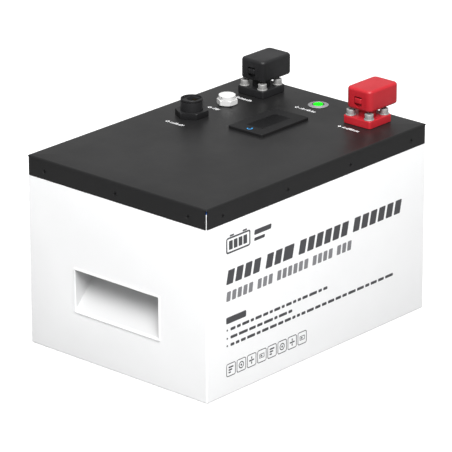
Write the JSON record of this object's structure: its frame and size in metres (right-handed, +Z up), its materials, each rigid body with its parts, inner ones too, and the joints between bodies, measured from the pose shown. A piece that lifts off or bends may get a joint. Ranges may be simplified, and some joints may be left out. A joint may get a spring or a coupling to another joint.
{
  "type": "deep cycle battery",
  "caption": "Rectangular deep cycle battery in a white steel case with a dark screwed lid, recessed carry pockets, swivelling terminal plugs, data port, vent valve, display and lit switch.",
  "frame": {"origin": "middle of the underside of the case, on the surface it stands on", "axes": "+Z up; X along the long side with the terminals toward +X; -Y is the labelled front; +Y the back"},
  "size_m": [0.3212, 0.2286, 0.2305],
  "materials": {
    "case_paint": "satin",
    "lid_paint": "satin",
    "gasket_foam": "matte",
    "grey_foam": "matte",
    "zinc_steel": "satin",
    "stainless_steel": "satin",
    "bare_aluminium": "satin",
    "cell_wrap": "gloss",
    "insulating_sheet": "matte",
    "copper": "satin",
    "silver_plate": "polished",
    "gold_plate": "polished",
    "circuit_board": "satin",
    "red_insulation": "satin",
    "black_insulation": "satin",
    "black_rubber": "matte",
    "red_plastic": "satin",
    "black_plastic": "satin",
    "port_plastic": "satin",
    "white_plastic": "satin",
    "membrane": "matte",
    "display_plastic": "satin",
    "smoked_window": "gloss",
    "blue_key": "satin",
    "green_lens": "gloss",
    "label_ink": "matte",
    "lid_ink": "matte"
  },
  "bodies": {
    "battery": {"case_shell": "case_paint", "handle_pan_left": "case_paint", "handle_pan_right": "case_paint", "lid": "lid_paint", "lid_gasket": "gasket_foam", "lid_screws": "lid_paint", "rim_nuts": "zinc_steel", "base_pad": "grey_foam", "cell_1": "cell_wrap", "cell_2": "cell_wrap", "cell_3": "cell_wrap", "cell_4": "cell_wrap", "cell_spacers": "insulating_sheet", "end_plates": "bare_aluminium", "cell_straps": "zinc_steel", "pack_brackets": "zinc_steel", "cell_nuts": "zinc_steel", "busbars": "copper", "bms_heatsink": "bare_aluminium", "bms_board": "circuit_board", "bms_screws": "zinc_steel", "positive_lead": "red_insulation", "negative_lead": "black_insulation", "signal_harness": "black_insulation", "positive_receptacle": "red_plastic", "negative_receptacle": "black_plastic", "positive_pin": "silver_plate", "negative_pin": "silver_plate", "receptacle_screws": "stainless_steel", "receptacle_washers": "stainless_steel", "lid_fitting_seals": "black_rubber", "lid_fitting_nuts": "zinc_steel", "display_bezel": "display_plastic", "display_window": "smoked_window", "display_board": "circuit_board", "touch_key": "blue_key", "port_shell": "port_plastic", "port_nut": "port_plastic", "port_insert": "port_plastic", "port_contacts": "gold_plate", "vent_body": "white_plastic", "vent_cap": "white_plastic", "vent_membrane": "membrane", "switch_barrel": "stainless_steel", "switch_surround": "black_plastic", "switch_spring": "stainless_steel"},
    "power_button": {"switch_cap": "green_lens"},
    "positive_ring": {"positive_swivel_ring": "red_plastic"},
    "positive_plug": {"positive_plug_housing": "red_plastic", "positive_plug_contact": "silver_plate", "positive_cable_seal": "black_rubber", "positive_seal_nut": "red_plastic"},
    "positive_release": {"positive_release_button": "red_plastic"},
    "negative_ring": {"negative_swivel_ring": "black_plastic"},
    "negative_plug": {"negative_plug_housing": "black_plastic", "negative_plug_contact": "silver_plate", "negative_cable_seal": "black_rubber", "negative_seal_nut": "black_plastic"},
    "negative_release": {"negative_release_button": "black_plastic"}
  },
  "joints": [
    {"name": "power_press", "type": "slide", "parent": "battery", "child": "power_button", "axis": [0, 0, -1], "range_m": [0, 0.0015], "stiffness_N_per_m": 600, "springref_m": -0.001, "deforming": ["switch_spring"]},
    {"name": "positive_pull", "type": "slide", "parent": "battery", "child": "positive_ring", "axis": [0, 0, 1], "range_m": [0, 0.02]},
    {"name": "positive_swivel", "type": "hinge", "parent": "positive_ring", "child": "positive_plug", "pos_m": [0.1255, -0.0685, 0.2085], "axis": [0, 0, 1], "continuous": true},
    {"name": "positive_release_press", "type": "slide", "parent": "positive_plug", "child": "positive_release", "axis": [1, 0, 0], "range_m": [0, 0.002], "stiffness_N_per_m": 500, "springref_m": -0.001},
    {"name": "negative_pull", "type": "slide", "parent": "battery", "child": "negative_ring", "axis": [0, 0, 1], "range_m": [0, 0.02]},
    {"name": "negative_swivel", "type": "hinge", "parent": "negative_ring", "child": "negative_plug", "pos_m": [0.1255, 0.0685, 0.2085], "axis": [0, 0, 1], "continuous": true},
    {"name": "negative_release_press", "type": "slide", "parent": "negative_plug", "child": "negative_release", "axis": [1, 0, 0], "range_m": [0, 0.002], "stiffness_N_per_m": 500, "springref_m": -0.001}
  ]
}
